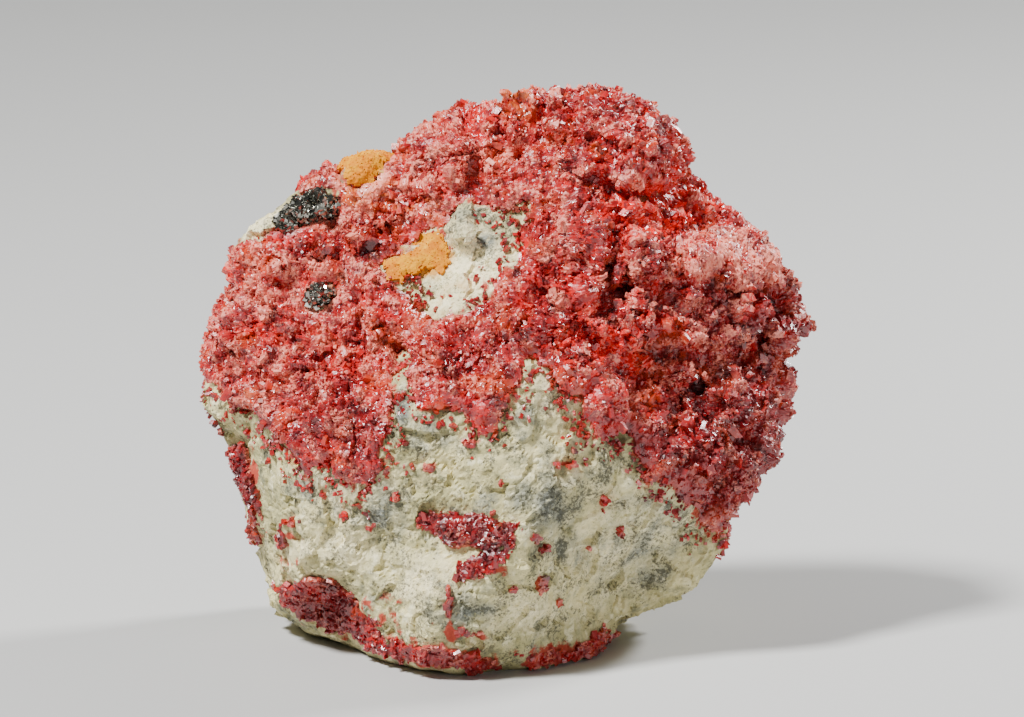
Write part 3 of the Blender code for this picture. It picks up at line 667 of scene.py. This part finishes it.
def crystal_kinds():
    """A few skewed prisms of unit size, each a box with a slanted, tapered end."""
    kinds = bpy.data.collections.new("crystal_kinds")
    bpy.context.scene.collection.children.link(kinds)
    dice = np.random.default_rng(7)
    for number in range(CRYSTAL_KINDS):
        shape = bmesh.new()
        bmesh.ops.create_cube(shape, size=1)
        length = dice.uniform(0.9, 1.5)
        taper = dice.uniform(0.35, 0.95, 2)
        lean = dice.uniform(-0.25, 0.25, 2)
        slant = dice.uniform(-0.45, 0.45, 2)
        flat = dice.uniform(0.6, 1.0)
        for vert in shape.verts:
            x, y, z = vert.co
            if z > 0:
                x = x * taper[0] + lean[0]
                y = y * taper[1] + lean[1]
                z += slant[0] * x + slant[1] * y
            vert.co = Vector((x, y * flat, z * length))
        mesh = bpy.data.meshes.new(f"crystal_kind_{number}")
        shape.to_mesh(mesh)
        shape.free()
        kinds.objects.link(bpy.data.objects.new(mesh.name, mesh))
    return kinds


def crystal_tree(name, kinds):
    """A Geometry Nodes tree that grows crystals on a surface, where the attribute in Growth lets them."""
    tree = bpy.data.node_groups.new(name, "GeometryNodeTree")
    tree.interface.new_socket("Geometry", in_out="INPUT", socket_type="NodeSocketGeometry")
    tree.interface.new_socket("Geometry", in_out="OUTPUT", socket_type="NodeSocketGeometry")
    for socket, kind in (
        ("Spacing", "NodeSocketFloat"), ("Density", "NodeSocketFloat"), ("Smallest", "NodeSocketFloat"),
        ("Largest", "NodeSocketFloat"), ("Tilt", "NodeSocketFloat"), ("Seed", "NodeSocketInt"),
        ("Growth", "NodeSocketString"), ("Material", "NodeSocketMaterial"),
    ):
        tree.interface.new_socket(socket, in_out="INPUT", socket_type=kind)
    start = add(tree, "NodeGroupInput").outputs
    end = add(tree, "NodeGroupOutput")
    growth = add(
        tree, "GeometryNodeInputNamedAttribute", {"data_type": "FLOAT"}, {"Name": start["Growth"]}
    ).outputs[0]
    scattered = add(
        tree, "GeometryNodeDistributePointsOnFaces", {"distribute_method": "POISSON"},
        {"Mesh": start["Geometry"], "Distance Min": start["Spacing"], "Density Max": start["Density"],
         "Density Factor": growth, "Seed": start["Seed"]},
    ).outputs
    lowest = combined(tree, start["Tilt"], -1.0)
    low = add(tree, "ShaderNodeCombineXYZ", {}, {0: lowest, 1: lowest, 2: -math.pi}).outputs[0]
    high = add(tree, "ShaderNodeCombineXYZ", {}, {0: start["Tilt"], 1: start["Tilt"], 2: math.pi}).outputs[0]
    turn = add(
        tree, "FunctionNodeRandomValue", {"data_type": "FLOAT_VECTOR"}, {"Min": low, "Max": high, "Seed": 11}
    ).outputs[0]
    rotation = add(
        tree, "FunctionNodeRotateRotation", {"rotation_space": "LOCAL"},
        {"Rotation": scattered["Rotation"], "Rotate By": turn},
    ).outputs[0]
    size = add(
        tree, "FunctionNodeRandomValue", {"data_type": "FLOAT"},
        {2: start["Smallest"], 3: start["Largest"], "Seed": 12},
    ).outputs[1]
    shapes = add(
        tree, "GeometryNodeCollectionInfo", {},
        {"Collection": kinds, "Separate Children": True, "Reset Children": True},
    ).outputs[0]
    grown = add(
        tree, "GeometryNodeInstanceOnPoints", {},
        {"Points": scattered["Points"], "Instance": shapes, "Pick Instance": True, "Rotation": rotation,
         "Scale": size},
    ).outputs[0]
    real = add(tree, "GeometryNodeRealizeInstances", {}, {"Geometry": grown}).outputs[0]
    coloured = add(
        tree, "GeometryNodeSetMaterial", {}, {"Geometry": real, "Material": start["Material"]}
    ).outputs[0]
    tree.links.new(coloured, end.inputs[0])
    return tree


kinds = crystal_kinds()
crystals_tree = crystal_tree("crystals", kinds)


def grown_crystals(ground, material, **settings):
    """Crystals of a material on a mesh. Settings are inputs of the crystals' tree."""
    settings = {"Growth": "growth", "Material": material, **settings}
    sockets = {item.name: item.identifier for item in crystals_tree.interface.items_tree
               if item.in_out == "INPUT"}

    def set_up(holder):
        modifier = holder.modifiers.new("crystals", "NODES")
        modifier.node_group = crystals_tree
        for name, value in settings.items():
            modifier[sockets[name]] = value

    return evaluated(ground, set_up)


def joined(meshes):
    """One mesh of several."""
    whole = bmesh.new()
    for mesh in meshes:
        whole.from_mesh(mesh)
    result = bpy.data.meshes.new("joined")
    whole.to_mesh(result)
    whole.free()
    return result


# The druse: a continuous crust of realgar that grew from hot water on the rock. It is a few millimetres
# thick, swells into knobs and ledges, and is full of small pits. Its crystals have grown into each other,
# so it is a mass of broken facets, with single crystals standing out of it here and there.
# Lengths are in mm. OUTSIDE is where thickness is measured from, and SUNK how deep a crust lies in the rock.
CRUST_GRAIN = 0.5
OUTSIDE = 14.0
THINNEST = 0.5
FULL_THICKNESS = 3.2
SUNK = 0.3
CRUST_SMOOTHING = 10
HOLLOW_SMOOTHING = 50
THICKNESS_SMOOTHING = 12
PEAK_SMOOTHING = 25
NORMAL_SMOOTHING = 6
# A crust rises to its thickness, its relief and its crystals this far inside its edge.
THICKNESS_RISE = 1.4
RELIEF_RISE = 1.5
CRYSTALS_RISE = 0.4
# The druse is three pieces, to keep each of them small: left and right in front, which overlap, and behind.
ZONE_EDGE = 8.0
OVERLAP = 1.0
BEHIND = -0.22
# What is drawn from the front reaches round the sides until the rock faces the eye by less than this.
IN_VIEW = -0.3
LEDGES_IN_VIEW = -0.2
PITS_IN_VIEW = -0.25
GRAINS_IN_VIEW = -0.2
PATCHES_IN_VIEW = -0.5
# How high above the ground the druse and the smaller growths of realgar end, in mm.
DRUSE_CLEARANCE = 1.0
GROWTH_CLEARANCE = 0.3
# Pits and ledges in the druse. The last number of a pit's row is its depth in mm. A ledge is smoother than
# the rest by the share in LEDGE_CALM.
PITS = [
    (4.5, 36.8, 1.7, 1.0, 3.5), (1.8, 32.0, 1.0, 1.0, 3.0), (-4.8, 28.2, 0.9, 1.3, 3.0),
    (-17.3, 26.3, 1.2, 0.9, 2.0), (21.0, 27.6, 7.5, 1.0, 4.0), (14.8, 28.0, 1.6, 1.4, 3.0),
    (6.8, 20.0, 0.9, 3.6, 2.2), (33.0, 12.6, 6.0, 1.0, 2.2), (35.3, 6.0, 1.3, 1.1, 3.0),
    (-32.5, 14.0, 2.0, 1.2, 2.0), (16.0, 14.0, 1.0, 4.0, 2.2), (24.0, 4.0, 3.5, 1.0, 2.2),
    (12.0, 33.0, 3.0, 0.8, 2.0), (27.0, -6.0, 1.0, 3.0, 2.0), (-24.0, 3.0, 3.0, 0.9, 1.8),
    (-12.5, 26.5, 1.4, 0.9, 1.8),
]
LEDGES = [(30.0, 16.6, 7.0, 2.4, 1.0), (9.5, 22.0, 2.6, 5.5, 0.6)]
LEDGE_CALM = 0.7
# The rock is hollow here, so the druse grows along smoother normals, or it would fold into itself.
HOLLOW = [(-9.0, 3.0, 5.5, 5.5, 1.0)]


def thickness_over(points, normals, node, least):
    """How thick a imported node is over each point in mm, measured from outside along the normal."""
    solid = bmesh.new()
    solid.from_mesh(frame["nodes"][node].data)
    bmesh.ops.scale(solid, vec=(1 / MM,) * 3, verts=solid.verts[:])
    shape = BVHTree.FromBMesh(solid)
    solid.free()
    found = np.full(len(points), least)
    for index, (point, normal) in enumerate(zip(points, normals)):
        way = Vector(normal)
        _, _, _, distance = shape.ray_cast(Vector(point) + way * OUTSIDE, -way, OUTSIDE)
        if distance is not None:
            found[index] = max(least, OUTSIDE - distance)
    return found


def corners_of(mesh):
    """A mesh's four-cornered faces as an array of vertex numbers."""
    corners = np.empty(len(mesh.loops), dtype=np.int32)
    mesh.loops.foreach_get("vertex_index", corners)
    return corners.reshape(-1, 4)


def shell(quads, inner, outer, values):
    """A closed shell on these faces, between two sets of points, with its outer side twice as fine. Values
    are a dict of numbers at the points, kept as attributes; on the inner side they are 0."""
    used = np.unique(quads)
    count = len(used)
    number = np.zeros(len(outer), dtype=int)
    number[used] = np.arange(count)
    quads = number[quads]
    outer, inner = outer[used], inner[used]
    ahead = np.roll(quads, -1, axis=1)
    low, high = np.minimum(quads, ahead), np.maximum(quads, ahead)
    edges, halfway = np.unique(low.astype(np.int64) * count + high, return_inverse=True)
    ends = np.column_stack([edges // count, edges % count])
    halfway = halfway.reshape(quads.shape) + count
    centre = np.arange(len(quads)) + count + len(edges)
    behind = np.roll(halfway, 1, axis=1)
    top = np.concatenate([
        np.column_stack([quads[:, side], halfway[:, side], centre, behind[:, side]]) for side in range(4)
    ])
    fine = np.concatenate([outer, outer[ends].mean(axis=1), outer[quads].mean(axis=1)])
    below = len(fine)
    single = np.bincount(halfway.ravel() - count, minlength=len(edges)) == 1
    rim = single[halfway - count]
    walls = np.column_stack([ahead[rim], halfway[rim], quads[rim], quads[rim] + below, ahead[rim] + below])
    faces = top.tolist() + (quads[:, ::-1] + below).tolist() + walls.tolist()
    result = bpy.data.meshes.new("shell")
    result.from_pydata(np.concatenate([fine, inner]).tolist(), [], faces)
    for name, value in values.items():
        value = value[used]
        outside = [value, value[ends].mean(axis=1), value[quads].mean(axis=1)]
        store(result, name, np.concatenate([*outside, 0 * value]))
    return result


base = grained("matrix_stone", CRUST_GRAIN)
base_quads = corners_of(base)
base_points = points_of(base)
base_normals = unit(spread(base, normals_of(base), CRUST_SMOOTHING))
base_places = drawn(base_points)
base_facing = facing_of(base_normals)
hollow = smooth_step(0.1, 0.5, blobs(base_places, HOLLOW)) * (base_facing > 0)
smoother = unit(spread(base, normals_of(base), HOLLOW_SMOOTHING)) - base_normals
growth_ways = unit(base_normals + smoother * hollow[:, None])


def growth_of(zones, name, reach, node, least, relief, lift=0.0, calm=0.0):
    """A crust on the rock where reach, in mm from its edge, is above 0, as one mesh for each zone. It is as
    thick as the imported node, and at least as thick as least. Relief is the layers of its relief tree, lift
    is more thickness in mm, and calm is the share of the relief that is left out."""
    covered = reach > 0
    thickness = np.full(len(base_points), least)
    if node:
        thickness[covered] = thickness_over(base_points[covered], growth_ways[covered], node, least)
        thickness = spread(base, thickness, THICKNESS_SMOOTHING)
    thickness = least + np.maximum(thickness + lift - least, 0) * smooth_step(0, THICKNESS_RISE, reach)
    steepness = np.clip(thickness / FULL_THICKNESS, 0.3, 1) * (1 - calm)
    values = {
        "relief": smooth_step(0, RELIEF_RISE, reach) * steepness,
        "growth": smooth_step(0, CRYSTALS_RISE, reach),
    }
    for look, rows in (("frost", FROST), ("bright", BRIGHT), ("orange", ORANGE), ("dusk", DARK_AND_SHADE)):
        values[look] = blobs(base_places, rows)
    outer = base_points + growth_ways * thickness[:, None]
    inner = base_points - base_normals * SUNK
    tree = relief_tree(name + "_relief", relief)
    for zone in zones:
        chosen = (covered & zone)[base_quads].all(axis=1)
        mesh = raised(shell(base_quads[chosen], inner, outer, values), tree)
        # Peak is how far each point stands out of its smoothed surroundings. The realgar's colour uses it to
        # paint highlight on what stands out and shade in the pits.
        points = points_of(mesh)
        off = points - spread(mesh, points, PEAK_SMOOTHING)
        store(mesh, "peak", (off * unit(spread(mesh, normals_of(mesh), NORMAL_SMOOTHING))).sum(axis=1))
        yield mesh


druse_reach = crust_depth(base_places, base_facing)
druse_reach = roughened(base_points, druse_reach, width=2.2, height=0.9)
druse_reach = np.where(base_points[:, 2] > DRUSE_CLEARANCE, druse_reach, -FAR)
zones = {
    "left": (base_facing > IN_VIEW) & (base_places[:, 0] < ZONE_EDGE + OVERLAP / 2),
    "right": (base_facing > IN_VIEW) & (base_places[:, 0] > ZONE_EDGE - OVERLAP / 2),
    "behind": base_facing < BEHIND,
}
pits = np.zeros(len(base_points))
for *oval, depth in PITS:
    pits = np.maximum(pits, depth * blobs(base_places, [(*oval, 1.0)]))
pitted = pits > 0.1
pits[pitted] = roughened(base_points[pitted], pits[pitted], width=1.2, height=0.6)
ledges = blobs(base_places, LEDGES) * (base_facing > LEDGES_IN_VIEW)
crusts = growth_of(
    zones.values(), "druse", druse_reach, "realgar_crust", THINNEST,
    [("lumps", 7.5, 3.4, 2.0), ("lumps", 3.6, 2.2, 5.0), ("facets", 3.0, 0.8, 9.0),
     ("facets", 1.4, 0.4, 4.0), ("facets", 0.7, 0.28, 6.0)],
    lift=ledges - np.where(base_facing > PITS_IN_VIEW, pits, 0), calm=LEDGE_CALM * ledges,
)
for zone, crust in zip(zones, crusts):
    small_crystals = grown_crystals(
        crust, realgar, Spacing=0.5, Density=1.1, Smallest=0.25, Largest=0.55, Tilt=0.8, Seed=3
    )
    large_crystals = grown_crystals(
        crust, realgar, Spacing=1.4, Density=0.06, Smallest=0.7, Largest=1.5, Tilt=0.5, Seed=3
    )
    finished(f"druse_crystals_{zone}", joined([small_crystals, large_crystals]), realgar, [])
    finished(f"druse_crust_{zone}", crust, realgar, ["realgar_crust"])


# The smaller growths are crusts of the same kind, inside outlines of their own.
def reach_inside(outlines, facing):
    """How far inside one of these outlines each place on the rock lies, where it faces the eye this much."""
    reach = np.full(len(base_points), -FAR)
    for outline in outlines:
        reach = np.maximum(reach, inside(outline, base_places))
    return np.where(base_facing > facing, reach, -FAR)


def frayed(reach, more, width, height):
    """A reach whose edge is moved out by more mm and then frayed by noise of this width and height in mm."""
    near = reach > -2
    reach[near] = roughened(base_points[near], reach[near] + more, width, height)
    return reach


def growth_piece(name, node, reach, relief, material, slot, lift=0.0, least=THINNEST, **crystals):
    """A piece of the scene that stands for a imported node, if there is one: a crust on the rock, where reach
    is above 0, and crystals on it, for which the settings are the inputs of the crystals' tree."""
    [crust] = growth_of([reach > -1], name, reach, node, least, relief, lift)
    grown = grown_crystals(crust, material, **crystals)
    finished(name, joined([crust, grown]), material, [node] if node else [])


def realgar_growth(node, outlines):
    """A thin growth of realgar inside these outlines, clear of what the rock stands on."""
    reach = np.where(base_points[:, 2] > GROWTH_CLEARANCE, reach_inside(outlines, IN_VIEW), -FAR)
    growth_piece(
        node + "_crust", node, frayed(reach, more=0.4, width=1.4, height=1.0),
        [("facets", 2.1, 1.0, 1.0), ("facets", 0.9, 0.5, 6.0)], realgar, "realgar",
        Spacing=0.5, Density=2.5, Smallest=0.35, Largest=0.9, Tilt=1.0, Seed=5,
    )


# The lens: a flat pod of the same realgar that filled a crack and was laid bare when the rock broke along
# it. Its tail is a film of crystals less than a millimetre thick.
realgar_growth("realgar_lens", [
    [(-14, -21.5), (-12.5, -20.5), (-10, -20.5), (-8, -21), (-5, -20.5), (-1.5, -21.5), (1, -22),
     (1.5, -24), (0.5, -25.5), (-2.5, -25.5), (-5, -25.5), (-8, -25), (-10.5, -23.5), (-13, -22.5)],
    [(-8, -30), (-7.5, -28.5), (-5, -27), (-2.5, -26), (1, -26), (-1.5, -27.5), (-2.5, -29), (-5, -29),
     (-7, -30.5)],
])

# The lining of the hollow at the lower left: dark realgar on the walls of a cavity that was never quite
# filled. A thin streak of it follows the bottom edge of the rock to the right.
realgar_growth("realgar_vug_lining", [
    [(-34.5, -31.8), (-31, -31), (-28, -30.6), (-25.5, -31), (-23.5, -33), (-22, -35), (-20, -36.5),
     (-18.5, -38.5), (-16, -40.3), (-17.5, -41.5), (-19.5, -41), (-21.5, -39.8), (-23.5, -38.3),
     (-24.5, -38.7), (-26.5, -38.3), (-28, -37.3), (-31, -36.8), (-32, -35), (-33.5, -34)],
    [(-18.5, -38.5), (-13.5, -40.3), (-10, -40.3), (-5, -41.3), (-2, -43), (-5, -43.3), (-11.5, -42.5),
     (-17.5, -41.5)],
])

# The seam along the base at the right: realgar in a crack that the specimen was broken off along, so only
# its upper side is left.
realgar_growth("realgar_base_seam", [
    [(1.5, -41.2), (4, -41.5), (6, -40.8), (9.5, -41), (12, -39.0), (14, -37.6), (15, -38.6),
     (13, -40.5), (11.5, -42), (9, -43.5), (6, -44), (3, -43.5)],
])

# The seam down the left edge: a narrow vein of realgar that the broken face cuts at a slant.
realgar_growth("realgar_edge_seam", [
    [(-41.5, -11), (-40.3, -10.5), (-39.3, -13), (-38.6, -16), (-37.6, -19), (-37, -21.5), (-37.6, -25),
     (-38.6, -25), (-38.4, -21), (-39.4, -17.5), (-40.6, -14)],
])

# The grains: single small crystals of realgar on the bare rock beside the druse, where the crust was only
# beginning to grow. They thin out over a few millimetres.
GRAINS_ABOVE = 0.15
GRAINS_FADE = (-5.0, -0.3)
grains_on = base.copy()
nearness = smooth_step(*GRAINS_FADE, druse_reach) * (druse_reach < 0.3) * (base_facing > GRAINS_IN_VIEW)
nearness *= 1 - smooth_step(-1.5, 0.5, inside(CORNER_OUTLINE, base_places))
near = nearness > 0.02
nearness[near] = roughened(base_points[near], nearness[near], width=1.8, height=0.9)
store(grains_on, "growth", np.clip(nearness - 0.25, 0, 1))
store(grains_on, "dusk", np.full(len(base_points), 0.3))
place_points(grains_on, base_points + GRAINS_ABOVE * base_normals)
grains = grown_crystals(
    grains_on, realgar, Spacing=0.35, Density=2.2, Smallest=0.3, Largest=0.8, Tilt=1.0, Seed=9
)
finished("realgar_grains", grains, realgar, [])

# The crumbs: specks and short streaks of realgar in the pores of the bare rock, about a millimetre thick.
# Each row is an oval: u and w of its centre, and its reach across and upwards.
CRUMBS = [
    (-12.0, -13.5, 1.5, 0.8), (-6.0, -9.8, 1.6, 0.9), (8.3, -13.2, 2.3, 0.6), (13.8, -18.5, 0.7, 1.6),
    (4.5, -30.8, 1.0, 1.6), (5.3, -25.5, 1.2, 0.7), (-3.0, -20.3, 1.5, 0.5), (-9.0, -34.0, 0.6, 2.6),
    (-7.0, -37.6, 2.6, 0.6), (-17.0, -17.8, 0.7, 0.7), (-8.4, -24.8, 1.2, 0.9), (3.5, -24.0, 0.9, 0.9),
    (-32.0, -21.8, 1.5, 0.6), (-33.6, -24.6, 0.8, 1.4), (-27.5, -18.0, 0.7, 0.7), (9.5, -11.0, 0.9, 0.5),
    (20.2, -15.3, 1.0, 0.8), (16.3, -22.8, 0.6, 0.8), (-1.0, -16.0, 0.7, 0.5), (7.0, -33.5, 0.5, 0.7),
    (-20.5, -22.5, 0.8, 0.5), (0.5, -31.5, 0.6, 0.5), (11.5, -25.5, 0.5, 0.6), (-24.5, -20.5, 0.6, 0.9),
]
reach = np.full(len(base_points), -FAR)
for centre_u, centre_w, reach_u, reach_w in CRUMBS:
    away = np.hypot((base_places[:, 0] - centre_u) / reach_u, (base_places[:, 1] - centre_w) / reach_w)
    reach = np.maximum(reach, (1 - away) * min(reach_u, reach_w))
reach = frayed(np.where(base_facing > 0, reach, -FAR), more=0.0, width=0.9, height=0.7)
growth_piece(
    "realgar_crumbs", None, reach, [("facets", 1.0, 0.8, 1.0)], realgar, "realgar", least=0.7,
    Spacing=0.5, Density=2.0, Smallest=0.35, Largest=0.8, Tilt=1.0, Seed=8,
)


# Orpiment, a yellow arsenic sulphide that grew with the realgar: a soft powder of orange and yellow
# grains, with rusty specks. A powder mirrors next to nothing, so its refractive index is set low. One
# patch lies at the top edge and one in the bare window.
orpiment, tree, shader = start_material("orpiment_powder")
position = add(tree, "ShaderNodeTexCoord").outputs["Object"]
patch = noise(tree, position, 2.4, 4.0, 0.65)
colour = mixed(tree, sharpened(tree, patch, 0.38, 0.66), "cc7600", "e09a00")
colour = mixed(tree, sharpened(tree, noise(tree, position, 1.9, 4.0, 0.7), 0.56, 0.74), colour, "ecb030")
colour = mixed(tree, sharpened(tree, noise(tree, position, 1.1, 3.0, 0.6), 0.62, 0.72), colour, "c25a14")
tree.links.new(colour, shader.inputs["Base Color"])
shader.inputs["Roughness"].default_value = 0.75
shader.inputs["IOR"].default_value = 1.25
bump = add(
    tree, "ShaderNodeBump", {},
    {"Strength": 0.6, "Distance": 0.15 * MM, "Height": noise(tree, position, 0.4)},
)
tree.links.new(bump.outputs[0], shader.inputs["Normal"])


def patch_of(node, outline, material, slot, lift, height, smallest, largest):
    """A growth of another mineral inside an outline, lifted off the rock, with facets of this height and
    crystals from smallest to largest, all in mm."""
    growth_piece(
        node + "_crust", node,
        frayed(reach_inside([outline], PATCHES_IN_VIEW), more=0.3, width=1.2, height=0.9),
        [("facets", 1.8, height, 1.0), ("facets", 0.8, 0.5 * height, 6.0)], material, slot, lift,
        Spacing=0.4, Density=5.0, Smallest=smallest, Largest=largest, Tilt=1.2, Seed=5,
    )


for node, outline, lift in zip(("orpiment_top", "orpiment_window"), ORPIMENT_OUTLINES, (0.6, 0.0)):
    patch_of(node, outline, orpiment, "orpiment", lift, height=0.5, smallest=0.12, largest=0.28)

# A dark metallic sulphide of the same ores, in two clusters of crystals under a millimetre wide, whose
# bright faces mirror the lights and whose others look almost black.
metallic, tree, shader = start_material("metallic_sulphide")
position = add(tree, "ShaderNodeTexCoord").outputs["Object"]
colour = mixed(tree, noise(tree, position, 0.8), "5c5b54", "c4c3b8")
tree.links.new(colour, shader.inputs["Base Color"])
shader.inputs["Metallic"].default_value = 1.0
shader.inputs["Roughness"].default_value = 0.22

for node, outline in zip(("metallic_cluster_upper", "metallic_cluster_lower"), METAL_OUTLINES):
    patch_of(node, outline, metallic, "metallic", lift=1.0, height=1.2, smallest=0.3, largest=0.85)

# The patterns of the crystals are copied into the pieces by now, so they go.
for shape in list(kinds.objects):
    bpy.data.objects.remove(shape)
bpy.data.collections.remove(kinds)
